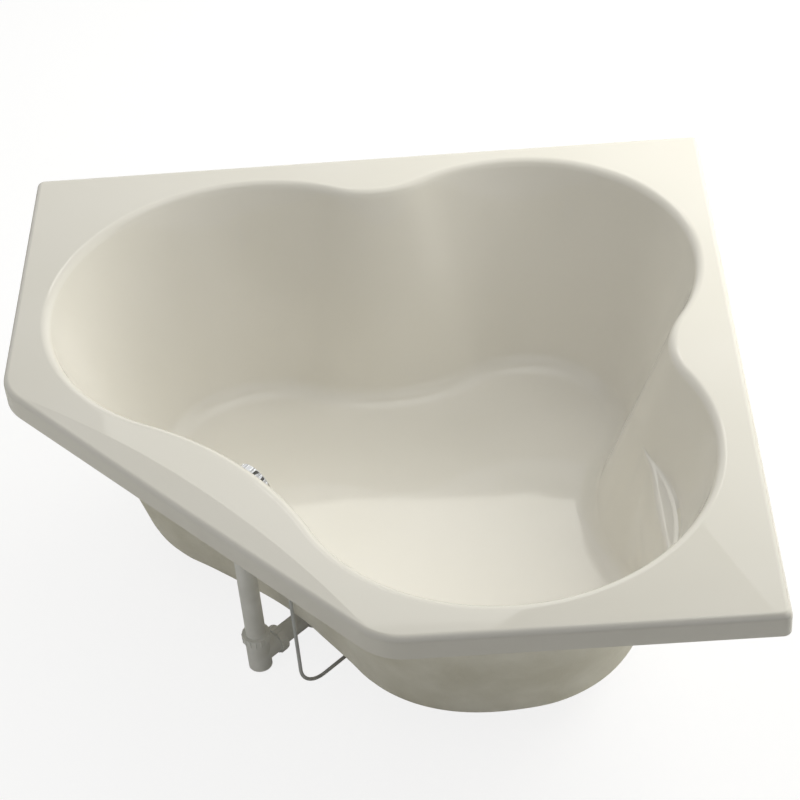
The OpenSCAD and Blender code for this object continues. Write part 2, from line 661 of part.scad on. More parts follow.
module overflow_elbow() color(plastic_colour) difference() {
    union() {
        difference() {
            union() {
                at_overflow() {
                    translate([0, 0, elbow_face - elbow_flange_t])
                        cylinder(r = elbow_flange_r, h = elbow_flange_t);
                    translate([0, 0, elbow_back]) cylinder(r = elbow_r, h = elbow_face - elbow_back);
                    at_cover_screws() cylinder(r = cover_boss_r, h = cover_boss_h);
                    translate([0, rod_y, rack_z]) rotate([0, 90, 0])
                        cylinder(r = gland_r, h = gland_end_x);
                }
                translate([0, tube_y, elbow_socket_z])
                    cylinder(r = socket_r, h = elbow_mid_at[2] - elbow_socket_z);
            }
            at_overflow() translate([0, 0, elbow_back - 1])
                cylinder(r = elbow_bore_r, h = elbow_face - elbow_back + 2);
            translate([0, tube_y, elbow_socket_z - 1]) {
                cylinder(r = tube_bore_r, h = elbow_mid_at[2] - elbow_socket_z + 1);
                cylinder(r = socket_bore_r, h = socket_depth + 1);
            }
        }
        at_overflow() intersection() {
            translate([0, 0, elbow_back]) cylinder(r = elbow_bore_r + 1, h = elbow_face - elbow_back);
            union() {
                for (turn = [0, 90]) rotate(turn) translate([-elbow_r, -spider_w / 2, spider_z - spider_t])
                    cube([2 * elbow_r, spider_w, spider_t]);
                translate([0, 0, spider_z - spider_t]) cylinder(r = spider_hub_r, h = spider_t);
                translate([-guide_half, -elbow_r, pinion_z])
                    cube([guide_half + guide_to, elbow_r + rack_back_y - slide_gap, pinion_w]);
            }
        }
    }
    at_overflow() {
        translate([0, 0, elbow_back]) cylinder(r = shaft_r + running_gap, h = elbow_face - elbow_back);
        translate([rod_bore_from, rod_y, rack_z]) rotate([0, 90, 0])
            cylinder(r = rod_r + running_gap, h = gland_end_x);
        at_plate_screws() translate([0, 0, spider_z - spider_t - 1])
            cylinder(r = plate_screw_r + running_gap, h = spider_t + 2);
        at_cover_screws() translate([0, 0, -1])
            cylinder(r = cover_screw_r + seat_gap / 4, h = cover_bore_h + 1);
    }
}
cover_t = 3;
cover_head_h = 2;
cover_head_r = cover_screw_r + 1.3;
module housing_cover() color(plastic_colour) at_overflow() translate([0, 0, -cover_t]) difference() {
    union() {
        translate([0, 0, elbow_back]) cylinder(r = elbow_r, h = cover_t);
        at_cover_screws() cylinder(r = cover_boss_r, h = cover_t);
    }
    at_cover_screws() translate([0, 0, -1]) cylinder(r = cover_screw_r + seat_gap / 4, h = cover_t + 2);
}
module cover_screws() color(steel_colour) at_overflow() at_cover_screws() translate([0, 0, -cover_t]) {
    translate([0, 0, -cover_head_h]) cylinder(r = cover_head_r, h = cover_head_h);
    cylinder(r = cover_screw_r, h = cover_t + cover_screw_bite);
}

// Plate inside the well: a ring on two arms, held to the elbow's cross by two screws
plate_t = 3;
plate_ring_r = 34;
plate_ring_in = overflow_hole_r - 4;
plate_edge = 2;
plate_arm = overflow_hole_r - 1;
plate_screw_r = 2.2;
plate_head_r = 4;
plate_head_h = 1.8;
module overflow_plate() color(chrome_colour) at_overflow() difference() {
    union() {
        rotate_extrude($fn = 96) polygon([
            [plate_ring_in, 0], [plate_ring_r, 0], [plate_ring_r, plate_t / 3],
            [plate_ring_r - plate_edge, plate_t], [plate_ring_in, plate_t]]);
        translate([-plate_arm, -spider_w / 2, 0]) cube([2 * plate_arm, spider_w, plate_t]);
        cylinder(r = spider_hub_r, h = plate_t);
    }
    translate([0, 0, -1]) cylinder(r = shaft_r + running_gap, h = plate_t + 2);
    at_plate_screws() translate([0, 0, -1]) cylinder(r = plate_screw_r + running_gap, h = plate_t + 2);
}
module plate_screws() color(chrome_colour) at_overflow() at_plate_screws() {
    translate([0, 0, plate_t]) cylinder(r = plate_head_r, h = plate_head_h);
    translate([0, 0, spider_z - spider_t]) cylinder(r = plate_screw_r, h = plate_t - spider_z + spider_t);
}

// Dial: a chrome cup on the shaft, fluted for the fingers, with a boss for its grub screw
dial_wall = 3;
dial_edge_r = 2.5;
flute_r = 3;
flute_at = dial_r + flute_r - flute_depth;
dial_boss_wall = 5;
dial_boss_r = shaft_r + dial_boss_wall;
grub_r = 2;
grub_len = 4.5;
grub_rise = 4;
grub_z = dial_gap + grub_rise;
module overflow_dial() color(chrome_colour) at_overflow() difference() {
    union() {
        difference() {
            union() {
                translate([0, 0, dial_gap]) cylinder(r = dial_r, h = dial_h - dial_edge_r);
                translate([0, 0, dial_gap + dial_h - dial_edge_r]) {
                    cylinder(r = dial_r - dial_edge_r, h = dial_edge_r);
                    rotate_extrude($fn = 96) translate([dial_r - dial_edge_r, 0]) intersection() {
                        circle(r = dial_edge_r, $fn = 48);
                        square(dial_edge_r);
                    }
                }
            }
            translate([0, 0, dial_gap - 1]) cylinder(r = dial_r - dial_wall, h = dial_h - dial_wall + 1);
            for (n = [0:flute_count - 1]) rotate((n + 0.5) * 360 / flute_count)
                translate([flute_at, 0, dial_gap - 1]) cylinder(r = flute_r, h = dial_h + 2);
        }
        translate([0, 0, dial_gap]) cylinder(r = dial_boss_r, h = dial_h - dial_wall / 2);
    }
    translate([0, 0, dial_gap - 1]) cylinder(r = shaft_r + seat_gap / 4, h = dial_h - dial_wall + 1);
    translate([0, 0, grub_z]) rotate([-90, 0, 0]) cylinder(r = grub_r + seat_gap / 4, h = dial_boss_r + 1);
}
module dial_screw() color(steel_colour) at_overflow()
    translate([0, shaft_r + seat_gap / 2, grub_z]) rotate([-90, 0, 0]) cylinder(r = grub_r, h = grub_len);
shaft_from = pinion_z - 3;
shaft_to = dial_gap + dial_h - dial_wall - 0.5;
module dial_shaft() color(brass_colour) at_overflow() translate([0, 0, shaft_from])
    cylinder(r = shaft_r, h = shaft_to - shaft_from);

// Involute pinion on the shaft and its straight-toothed rack
tooth_steps = 6;
function involute_turn(r) = let (roll = sqrt(max(0, r * r / (base_r * base_r) - 1)))
    roll * 180 / PI - atan(roll);
half_tooth = 90 / pinion_teeth - tooth_backlash / 4 / pinion_r * 180 / PI;
function flank_turn(r) = half_tooth + involute_turn(pinion_r) - involute_turn(max(r, base_r));
function flank_point(r, side) = r * [cos(flank_turn(r)), side * sin(flank_turn(r))];
flank_radii = concat([root_r], [for (k = [0:tooth_steps]) base_r + (tip_r - base_r) * k / tooth_steps]);
module pinion_outline() {
    circle(r = (root_r + base_r) / 2, $fn = 64);
    for (n = [0:pinion_teeth - 1]) rotate(n * 360 / pinion_teeth) polygon(concat(
        [[0, 0]],
        [for (r = flank_radii) flank_point(r, -1)],
        [for (r = reversed(flank_radii)) flank_point(r, 1)]));
}
module drive_pinion() color(brass_colour) at_overflow() translate([0, 0, pinion_z])
    linear_extrude(pinion_w) difference() {
        rotate(-90) pinion_outline();
        circle(r = shaft_r + running_gap / 2, $fn = 64);
    }
rack_from = -5;
rack_to = 2;
rack_left = (rack_from - 0.5) * tooth_pitch;
rack_right = (rack_to + 1.5) * tooth_pitch;
function rack_half(y) = tooth_pitch / 4 - tooth_backlash / 4 - y * tan(pressure_angle);
module rack_outline() {
    back = -tooth_root - rack_back;
    polygon(concat(
        [[rack_right, -tooth_root], [rack_right, back], [rack_left, back], [rack_left, -tooth_root]],
        [for (n = [rack_from:rack_to]) let (x = (n + 0.5) * tooth_pitch) each [
            [x - rack_half(-tooth_root), -tooth_root],
            [x - rack_half(tooth_top), tooth_top],
            [x + rack_half(tooth_top), tooth_top],
            [x + rack_half(-tooth_root), -tooth_root]]]));
}
rack_rod_from = rack_right - 1;
rack_rod_to = gland_end_x - slide_gap - drive_travel;
module cable_rack() color(brass_colour) at_overflow() {
    translate([0, -pinion_r, pinion_z]) linear_extrude(pinion_w) rack_outline();
    translate([rack_rod_from, rod_y, rack_z]) rotate([0, 90, 0])
        cylinder(r = rod_r, h = rack_rod_to - rack_rod_from);
}

// Cable conduit from the shoe's gland, along the floor, up and back to the overflow's gland
gland_at = overflow_world([gland_end_x, rod_y, rack_z]);
bend_r = conduit_bend_r;
function to_hundredth(v) = round(v * 100) / 100;
module conduit_bend() {
    rotate_extrude(angle = 90, $fn = 96) translate([bend_r, 0]) circle(r = conduit_r, $fn = 32);
}
module conduit_run(length) {
    cylinder(r = conduit_r, h = length, $fn = 32);
}
module cable_conduit() color(cable_colour) {
    run = to_hundredth(drain_y - gland_at[1] - 2 * bend_r);
    rise = to_hundredth(gland_at[2] - plunger_z - 2 * bend_r);
    reach = conduit_x - bend_r - gland_end_x;
    translate([conduit_x - bend_r, drain_y, plunger_z]) {
        rotate([0, -90, 0]) conduit_run(reach);
        translate([0, -bend_r, 0]) conduit_bend();
        translate([bend_r, -bend_r, 0]) rotate([90, 0, 0]) conduit_run(run);
        translate([bend_r, -bend_r - run, bend_r]) rotate([0, 90, 0]) rotate(-90) conduit_bend();
        translate([bend_r, -2 * bend_r - run, bend_r]) conduit_run(rise);
        translate([0, -2 * bend_r - run, bend_r + rise]) rotate([90, 0, 0]) conduit_bend();
        translate([0, -2 * bend_r - run, 2 * bend_r + rise]) rotate([0, -90, 0]) conduit_run(reach);
    }
}
nut_over = 7;
nut_beyond = 7;
nut_wall = 2.4;
module conduit_nut() {
    bore = gland_r + seat_gap;
    small_bore = conduit_r + seat_gap;
    rotate_extrude($fn = 64) polygon([
        [bore, -nut_over], [bore + nut_wall, -nut_over], [bore + nut_wall, nut_beyond - nut_wall],
        [bore, nut_beyond], [small_bore, nut_beyond], [small_bore, seat_gap], [bore, seat_gap]]);
}
module conduit_nuts() color(plastic_colour) {
    translate([gland_end_x, drain_y, plunger_z]) rotate([0, 90, 0]) conduit_nut();
    translate(gland_at) rotate([0, 90, 0]) conduit_nut();
}

// Waste tee below the overflow tube, with a socket for the trap's tube facing the floor
tee_below = 30;
tee_bottom_z = waste_z - tee_below;
outlet_depth = 12;
tee_reach = socket_r + socket_neck + socket_depth;
tee_top_z = waste_z + tee_reach;
module waste_tee() color(plastic_colour) translate([0, tube_y, 0]) difference() {
    union() {
        translate([0, 0, tee_bottom_z]) cylinder(r = socket_r, h = tee_top_z - tee_bottom_z);
        translate([0, 0, waste_z]) rotate([-90, 0, 0]) cylinder(r = socket_r, h = tee_reach);
    }
    translate([0, 0, tee_bottom_z - 1]) {
        cylinder(r = tube_bore_r, h = tee_top_z);
        cylinder(r = tube_r + seat_gap, h = outlet_depth + 1);
    }
    translate([0, 0, tee_top_z - socket_depth]) cylinder(r = socket_bore_r, h = socket_depth + 1);
    translate([0, 0, waste_z]) rotate([-90, 0, 0]) {
        cylinder(r = tube_bore_r, h = tee_reach + 1);
        translate([0, 0, tee_reach - socket_depth]) cylinder(r = socket_bore_r, h = socket_depth + 1);
    }
}
module pipe(length) {
    difference() {
        cylinder(r = tube_r, h = length);
        translate([0, 0, -1]) cylinder(r = tube_bore_r, h = length + 2);
    }
}
waste_from = tube_y + tee_reach - socket_depth + seat_gap;
waste_to = shoe_socket_end + socket_depth - seat_gap;
module waste_tube() color(plastic_colour) translate([0, waste_from, waste_z]) rotate([-90, 0, 0])
    pipe(waste_to - waste_from);
overflow_from = tee_top_z - socket_depth + seat_gap;
overflow_to = elbow_socket_z + socket_depth - seat_gap;
module overflow_tube() color(plastic_colour) translate([0, tube_y, overflow_from])
    pipe(overflow_to - overflow_from);

// Slip nuts and their washers on the four sockets, each drawn along +Z from the socket's mouth
washer_t = 3;
slip_over = 10;
slip_wall = 4;
slip_r = socket_r + slip_wall;
slip_lip = 3;
slip_end = washer_t + slip_lip;
slip_ribs = 16;
slip_rib_r = 1.3;
slip_rib_end = washer_t + slip_lip / 3;
module slip_nut() {
    difference() {
        union() {
            translate([0, 0, -slip_over]) cylinder(r = slip_r, h = slip_over + slip_end);
            for (n = [0:slip_ribs - 1]) rotate(n * 360 / slip_ribs) translate([slip_r, 0, -slip_over])
                cylinder(r = slip_rib_r, h = slip_over + slip_rib_end);
        }
        translate([0, 0, -slip_over - 1]) cylinder(r = socket_r + seat_gap, h = slip_over + washer_t + 1);
        cylinder(r = tube_r + seat_gap, h = slip_end + 1);
    }
}
module slip_washer() {
    difference() {
        cylinder(r = socket_r - seat_gap, h = washer_t);
        translate([0, 0, -1]) cylinder(r = tube_r + seat_gap / 2, h = washer_t + 2);
    }
}
module at_sockets() {
    translate([0, tube_y, tee_top_z]) children();
    translate([0, tube_y, elbow_socket_z]) rotate([180, 0, 0]) children();
    translate([0, tube_y + tee_reach, waste_z]) rotate([-90, 0, 0]) children();
    translate([0, shoe_socket_end, waste_z]) rotate([90, 0, 0]) children();
}
module slip_nuts() color(plastic_colour) at_sockets() slip_nut();
module slip_washers() color(rubber_colour) at_sockets() slip_washer();

tub_shell();
glassfibre_backing();
rim_battens();
base_board();
foot_blocks();
foot_screws();
drain_flange();
drain_sealing_ring();
drain_shoe();
stopper_cap();
stopper_seal();
stopper_pin();
lift_lever();
lever_axle();
cable_plunger();
waste_tube();
waste_tee();
overflow_tube();
overflow_elbow();
overflow_gasket();
overflow_plate();
plate_screws();
overflow_dial();
dial_screw();
dial_shaft();
drive_pinion();
cable_rack();
housing_cover();
cover_screws();
cable_conduit();
conduit_nuts();
slip_nuts();
slip_washers();
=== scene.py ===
"""Corner soaking bath: fine forms, finishes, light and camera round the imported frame.

Sizes are in millimetres, in the part's own frame, and become metres where a mesh is made.
Bearings are degrees round the middle of the bath, anticlockwise from its right-hand side.
Lamps, flags and the camera are placed in metres.
"""

import math

import bpy
from mathutils import Euler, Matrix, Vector


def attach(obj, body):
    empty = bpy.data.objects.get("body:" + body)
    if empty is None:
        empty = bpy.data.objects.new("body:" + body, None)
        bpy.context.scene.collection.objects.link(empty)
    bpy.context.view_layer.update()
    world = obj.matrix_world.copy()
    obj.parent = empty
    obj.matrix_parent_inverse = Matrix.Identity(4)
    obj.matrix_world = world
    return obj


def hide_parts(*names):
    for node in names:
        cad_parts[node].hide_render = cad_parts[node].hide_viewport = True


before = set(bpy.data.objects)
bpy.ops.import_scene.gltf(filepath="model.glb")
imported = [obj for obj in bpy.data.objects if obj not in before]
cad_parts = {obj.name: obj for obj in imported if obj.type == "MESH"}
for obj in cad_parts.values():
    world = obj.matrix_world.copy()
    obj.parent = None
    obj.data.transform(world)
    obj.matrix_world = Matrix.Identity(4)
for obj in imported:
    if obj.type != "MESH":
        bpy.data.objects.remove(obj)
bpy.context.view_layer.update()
MM = 0.001

# Rim
wall_side = 1372
short_side = 672
lip_h = 47
edge_r = 12
back_corner_r = 16
side_corner_r = 16
front_corner_r = 110

# Crown of the front deck, which the hidden sides of the skins follow
crown_w = 50
crown_drop = 3
crown_turn = 35

# Front facet: the deck falls to the front lip from a crease that bows from corner to corner
facet_w = 57
facet_drop = 5

# Well
well_depth = 436
floor_z = 72
bath_h = floor_z + well_depth
back_lobe_r = 365
back_deck_w = 32.5
side_lobe_r = 397
side_deck_w = 52.8
wall_bump_r = 166
front_bump_r = 647
well_roll_r = 22
cove_r = 50
wall_lean = 19.5
front_lean = 8
front_turn_from = 20
front_turn_span = 55

# Arm ledge: its steps are depths from the ledge's own depth, with shares of its width
ledge_depth = 186
ledge_from = 9
ledge_to = 42
ledge_w = 28
ledge_steps = [(-14, 0), (0, 0.35), (8, 0.85), (20, 1)]
ledge_face_w = 39
ledge_hollow_h = 16
ledge_hollow_share = 0.16
ledge_nose_h = 9
ledge_nose_share = 0.26
shelf_fall = 0.6
wall_above_ledge = [(-60, 0), (-40, 0)]
wall_below_ledge = [(30, 1), (80, 1)]

# Skins, drain and overflow
acrylic_t = 4
skin_t = 9
drain_gap = 5
drain_hole_r = 26
drain_seat_r = 33
dish_r = 48.5
dish_lip_r = 40.5
dish_depth = 3
overflow_depth = 72
overflow_hole_r = 28
floor_fall = 0.017
fall_knee = 40

# Dial: the dish in its face is given as shares of its radius and of its depth
dial_r = 40
dial_h = 15
dial_gap = 6
dial_wall = 3
dial_edge_r = 2.5
dial_bevel = 0.35
dial_dish = 0.8
dial_dish_form = [(0.8, 0.4), (0.5, 0.9), (0, 1)]
dial_boss_r = 9
shaft_bore_r = 4.05
flute_count = 16
flute_r = 3
flute_depth = 1.9

# Fineness of the skins: steps along each part of a section, with the roll's first one as a share
lip_steps = 10
deck_steps = 18
roll_steps = 44
roll_first = 0.03
ledge_arc_steps = 10
cove_steps = 14
hidden_lip_steps = 4
hidden_deck_steps = 6
hidden_roll_steps = 5
hidden_roll_first = 0.2
hidden_cove_steps = 6

# Rows across the facet, as shares of its width from the lip, and across the floor, from the dish
facet_rows = [0.12, 0.4, 0.7, 0.96, 1]
floor_rows = [0.8, 0.6, 0.4, 0.2, 0.03]

# Degrees between the skins' sections
side_section_gap = 0.85
front_corner_gap = 0.5
side_corner_gap = 0.12
back_corner_gap = 0.1

# Fineness of the dial and of the tools that cut round holes
dial_sections = 192
dial_edge_steps = 8
dial_bevel_segments = 2
flute_sides = 48
flute_cutter_l = 60
overflow_hole_sides = 97
overflow_cutter_l = 54

# Angles between faces, in degrees, past which an edge stays sharp or gets a bevel
skin_sharp_turn = 35
dial_sharp_turn = 30
dial_bevel_turn = 25

root2 = math.sqrt(2)
wall_x = wall_side / root2
front_y = -short_side / root2
front_half = wall_x + front_y
mid_y = (front_y + wall_x - back_corner_r * (root2 - 1)) / 2
back_lobe = Vector((0, wall_x - (back_lobe_r + back_deck_w) * root2))
side_lobe = Vector((wall_x - (side_lobe_r + side_deck_w) * root2, 0))


def bearing_of(place):
    return math.degrees(math.atan2(place.y, place.x))


def aim(bearing):
    return Vector((math.cos(math.radians(bearing)), math.sin(math.radians(bearing))))


def smooth(share):
    """Eases a share from 0 to 1, and holds it outside them."""
    held = min(1, max(0, share))
    return held * held * (3 - 2 * held)


def shares(count, first=0.0):
    return [first + (1 - first) * step / count for step in range(count + 1)]


def round_hit(direction, centre, radius, far, inward):
    """Where a ray from the middle meets a circle, with the normal that points into the bath."""
    along = direction.dot(centre)
    half = math.sqrt(along * along - centre.length_squared + radius * radius)
    point = direction * (along + (half if far else -half))
    return point, (centre - point) / radius * (1 if inward else -1)


back_corner = Vector((0, wall_x - back_corner_r * root2))
side_corner = Vector((wall_x - side_corner_r * root2, 0))
front_corner = Vector((front_half - front_corner_r * (root2 - 1), front_y + front_corner_r))
rim_bearings = [
    bearing_of(back_corner + Vector((1, 1)) * back_corner_r / root2),
    bearing_of(side_corner + Vector((1, 1)) * side_corner_r / root2),
    bearing_of(side_corner + Vector((1, -1)) * side_corner_r / root2),
    bearing_of(front_corner + Vector((1, -1)) * front_corner_r / root2),
    bearing_of(front_corner + Vector((0, -front_corner_r))),
]


def rim_right(bearing):
    """Rim's edge on the right half, as a point and its inward normal."""
    ray = aim(bearing)
    if bearing >= rim_bearings[0]:
        return round_hit(ray, back_corner, back_corner_r, True, True)
    if bearing >= rim_bearings[1]:
        return ray * (wall_x / (ray.x + ray.y)), Vector((-1, -1)) / root2
    if bearing >= rim_bearings[2]:
        return round_hit(ray, side_corner, side_corner_r, True, True)
    if bearing >= rim_bearings[3]:
        return ray * (wall_x / (ray.x - ray.y)), Vector((-1, 1)) / root2
    if bearing >= rim_bearings[4]:
        return round_hit(ray, front_corner, front_corner_r, True, True)
    return ray * (front_y / ray.y), Vector((0, 1))


lobe_line = (side_lobe - back_lobe).normalized()
lobe_gap = (side_lobe - back_lobe).length
back_reach = back_lobe_r + wall_bump_r
side_reach = side_lobe_r + wall_bump_r
bump_along = (back_reach ** 2 - side_reach ** 2 + lobe_gap ** 2) / (2 * lobe_gap)
bump_out = math.sqrt(back_reach ** 2 - bump_along ** 2)
wall_bump = back_lobe + lobe_line * bump_along + Vector((-lobe_line.y, lobe_line.x)) * bump_out
front_bump = Vector((0, -math.sqrt((side_lobe_r + front_bump_r) ** 2 - side_lobe.x ** 2)))
front_wall_y = front_bump.y + front_bump_r
well_bearings = [
    bearing_of(back_lobe + (wall_bump - back_lobe).normalized() * back_lobe_r),
    bearing_of(side_lobe + (wall_bump - side_lobe).normalized() * side_lobe_r),
    bearing_of(side_lobe + (front_bump - side_lobe).normalized() * side_lobe_r),
]


def well_right(bearing):
    """Well's edge on the right half, where the deck starts to roll over, with its inward normal."""
    ray = aim(bearing)
    if bearing >= well_bearings[0]:
        return round_hit(ray, back_lobe, back_lobe_r, True, True)
    if bearing >= well_bearings[1]:
        return round_hit(ray, wall_bump, wall_bump_r, False, False)
    if bearing >= well_bearings[2]:
        return round_hit(ray, side_lobe, side_lobe_r, True, True)
    return round_hit(ray, front_bump, front_bump_r, False, False)


def both_sides(right_half, bearing):
    """Rim's or well's edge at any bearing: the left half mirrors the right one."""
    if bearing <= 90:
        return right_half(bearing)
    point, normal = right_half(180 - bearing)
    return Vector((-point.x, point.y)), Vector((-normal.x, normal.y))


def below_side(bearing):
    """Degrees from the right or left side towards the front."""
    return -bearing if bearing <= 90 else bearing - 180


def lean_at(bearing):
    """Wall's lean from upright: it eases off towards the front."""
    front_share = smooth((below_side(bearing) - front_turn_from) / front_turn_span)
    return wall_lean + (front_lean - wall_lean) * front_share


def ledge_at(bearing):
    """Share of the ledge's full width: it swells and fades along the right lobe."""
    if ledge_from < bearing < ledge_to:
        return math.sin(math.pi * (bearing - ledge_from) / (ledge_to - ledge_from))
    return 0


def ledge_form():
    """Face of the wall as (depth, share of the ledge's width): a hollow, a shelf and a rounded nose."""
    turns = [math.radians(90 * step / ledge_arc_steps) for step in range(ledge_arc_steps + 1)]
    nose_from = 1 - ledge_nose_share
    hollow = [(ledge_hollow_h * (math.sin(turn) - 1), ledge_hollow_share * (1 - math.cos(turn)))
              for turn in turns]
    shelf = [(shelf_fall / 2, (ledge_hollow_share + nose_from) / 2)]
    nose = [(shelf_fall + ledge_nose_h * (1 - math.cos(turn)), nose_from + ledge_nose_share * math.sin(turn))
            for turn in turns]
    return wall_above_ledge + hollow + shelf + nose + wall_below_ledge


def wall_inset(lean, depth):
    """How far the wall stands in from the well's edge at a depth."""
    tilt = math.radians(lean)
    return well_roll_r * math.cos(tilt) + math.tan(tilt) * (depth - well_roll_r * (1 - math.sin(tilt)))


def cove_centre(lean, depth=well_depth):
    """How far the cove's centre stands in from the well's edge, for a floor at a depth."""
    tilt = math.radians(lean)
    return wall_inset(lean, depth - cove_r * (1 - math.sin(tilt))) + cove_r * math.cos(tilt)


drain_at = Vector((0, front_wall_y + cove_centre(front_lean) + dish_r + drain_gap))


def floor_rise(bearing, under):
    """How much higher the floor's edge lies than the drain; the skins' hidden sides stay level."""
    if under:
        return 0
    point, normal = both_sides(well_right, bearing)
    reach = (point + normal * cove_centre(lean_at(bearing))).y - drain_at.y - dish_r
    return floor_fall * (reach + math.hypot(reach, fall_knee)) / 2


def facet_reach(place):
    """How far a place on the deck lies in front of the facet's crease."""
    return facet_w * (1 - (place.x / front_half) ** 2) - (place.y - front_y)


def deck_drop(bearing, place, inset, under):
    """How far the deck lies below the rim's top: a facet on the face, and a crown on the hidden sides."""
    if under:
        band = 1 - min(1, max(0, inset - edge_r) / crown_w)
        return crown_drop * smooth(below_side(bearing) / crown_turn) * band ** 2
    return facet_drop / facet_w * max(0, facet_reach(place))


def at_inset(line, inset, depth):
    """Point of a section, from an edge and its normal."""
    point, normal = line
    place = point + normal * inset
    return Vector((place.x, place.y - mid_y, bath_h - depth))


# Each run below gives a part of one section. It takes the section's bearing, how far under the face
# the run lies (0 for the face itself) and the steps along it.
def lip_run(bearing, under, steps):
    """Up the outside of the lip and over its rolled edge."""
    rim = both_sides(rim_right, bearing)
    drop = deck_drop(bearing, rim[0] + rim[1] * edge_r, edge_r, under)
    reach = edge_r - under
    points = [at_inset(rim, under, lip_h)]
    for share in steps:
        turn = math.radians(90 * share)
        points.append(at_inset(rim, edge_r - reach * math.cos(turn), edge_r + drop - reach * math.sin(turn)))
    return points


def deck_run(bearing, under, steps):
    """Across the deck, from the lip to the well's edge."""
    rim = both_sides(rim_right, bearing)
    well = both_sides(well_right, bearing)
    outer = rim[0] + rim[1] * edge_r
    points = []
    for share in steps:
        place = outer.lerp(well[0], share)
        inset = edge_r + (place - outer).dot(rim[1])
        height = bath_h - deck_drop(bearing, place, inset, under) - under
        points.append(Vector((place.x, place.y - mid_y, height)))
    return points


def face_deck_steps(bearing, halvings=30, least_crease=0.04, crease_gap=0.015, crowding=1.2):
    """Steps across the deck, with a row on the facet's crease and one close to it on each side."""
    rim = both_sides(rim_right, bearing)
    outer = rim[0] + rim[1] * edge_r
    well_edge = both_sides(well_right, bearing)[0]
    near, far = 0.0, 1.0
    for _ in range(halvings):
        middle = (near + far) / 2
        if facet_reach(outer.lerp(well_edge, middle)) > 0:
            near = middle
        else:
            far = middle
    crease = max(near, least_crease)
    inner = crease + (1 - crease) * crease_gap
    return ([crease * row for row in facet_rows]
            + [inner + (1 - inner) * (step / deck_steps) ** crowding for step in range(deck_steps + 1)])


def roll_run(bearing, under, steps):
    """Over the well's rolled edge."""
    well = both_sides(well_right, bearing)
    reach = well_roll_r - under
    turns = [math.radians(share * (90 - lean_at(bearing))) for share in steps]
    return [at_inset(well, reach * math.sin(turn), well_roll_r - reach * math.cos(turn)) for turn in turns]


def wall_run(bearing, under, form):
    """Down the leaning wall and over the ledge, under whose nose the hidden sides lie lower."""
    well = both_sides(well_right, bearing)
    lean = lean_at(bearing)
    ledge = (ledge_w if under else ledge_face_w) * ledge_at(bearing)
    back = under / math.cos(math.radians(lean))
    points = []
    for depth, share in form:
        lower = under * ledge / ledge_w if share > 0.5 else 0
        inset = wall_inset(lean, ledge_depth + depth) + ledge * share - back
        points.append(at_inset(well, inset, ledge_depth + depth + lower))
    return points


def cove_run(bearing, under, steps):
    """Round the cove between the wall and the floor."""
    well = both_sides(well_right, bearing)
    lean = lean_at(bearing)
    depth = well_depth - floor_rise(bearing, under)
    turns = [math.radians(lean + share * (90 - lean)) for share in steps]
    reach = cove_r + under
    centre = cove_centre(lean, depth)
    return [at_inset(well, centre - reach * math.cos(turn), depth - cove_r + reach * math.sin(turn))
            for turn in turns]


def floor_run(bearing, under, steps, rings):
    """Across the floor, which falls to the drain, and down into the drain's dish."""
    rise = floor_rise(bearing, under)
    point, normal = both_sides(well_right, bearing)
    across = point + normal * cove_centre(lean_at(bearing), well_depth - rise) - drain_at
    out = across.normalized()
    spots = [(dish_r + (across.length - dish_r) * share, rise * share) for share in steps]
    spots += [(radius, -dish_depth * smooth((dish_r - radius) / (dish_r - dish_lip_r))) for radius in rings]
    points = []
    for radius, height in spots:
        place = drain_at + out * radius
        points.append(Vector((place.x, place.y - mid_y, bath_h - well_depth + height - under)))
    return points


def face_run(bearing):
    """Visible face of the acrylic, from the lip's bottom to the drain's hole."""
    slope_rings = [dish_r - step for step in range(math.ceil(dish_r - dish_lip_r) + 1)]
    return (lip_run(bearing, 0, shares(lip_steps))
            + deck_run(bearing, 0, face_deck_steps(bearing))
            + roll_run(bearing, 0, shares(roll_steps, roll_first))
            + wall_run(bearing, 0, ledge_form())
            + cove_run(bearing, 0, shares(cove_steps))
            + floor_run(bearing, 0, floor_rows, slope_rings + [drain_seat_r, drain_hole_r]))


def hidden_run(bearing, under, with_lip):
    """Hidden side of a skin, under the face, as plain as the solids are."""
    lip = lip_run(bearing, under, shares(hidden_lip_steps)) if with_lip else []
    return (lip
            + deck_run(bearing, under, shares(hidden_deck_steps))
            + roll_run(bearing, under, shares(hidden_roll_steps, hidden_roll_first))
            + wall_run(bearing, under, ledge_steps)
            + cove_run(bearing, under, shares(hidden_cove_steps))
            + floor_run(bearing, under, [], [dish_r, dish_lip_r, drain_hole_r]))


def section_bearings():
    """Bearings of the sections all the way round, dense where the rim's corners are tight."""
    stops = [-90] + rim_bearings[::-1] + [90]
    gaps = [side_section_gap, front_corner_gap, side_section_gap, side_corner_gap,
            side_section_gap, back_corner_gap]
    half = []
    for start, end, gap in zip(stops, stops[1:], gaps):
        count = math.ceil((end - start) / gap)
        half += [start + (end - start) * step / count for step in range(count)]
    return half + [180 - bearing for bearing in [90] + half[:0:-1]]


def mesh_piece(name, points, faces):
    """New piece from points in millimetres."""
    mesh = bpy.data.meshes.new(name)
    mesh.from_pydata([tuple(point * MM) for point in points], [], faces)
    mesh.update()
    piece = bpy.data.objects.new(name, mesh)
    bpy.context.scene.collection.objects.link(piece)
    return piece


def skin(name, front, back):
    """Closed skin round the bath, from a front and a back run at every bearing."""
    sections = [front(bearing) + back(bearing)[::-1] for bearing in section_bearings()]
    rows = len(sections)
    count = len(sections[0])
    points = [point for section in sections for point in section]
    faces = []
    for row in range(rows):
        next_row = (row + 1) % rows
        for step in range(count):
            next_step = (step + 1) % count
            faces.append((row * count + step, row * count + next_step,
                          next_row * count + next_step, next_row * count + step))
    return mesh_piece(name, points, faces)


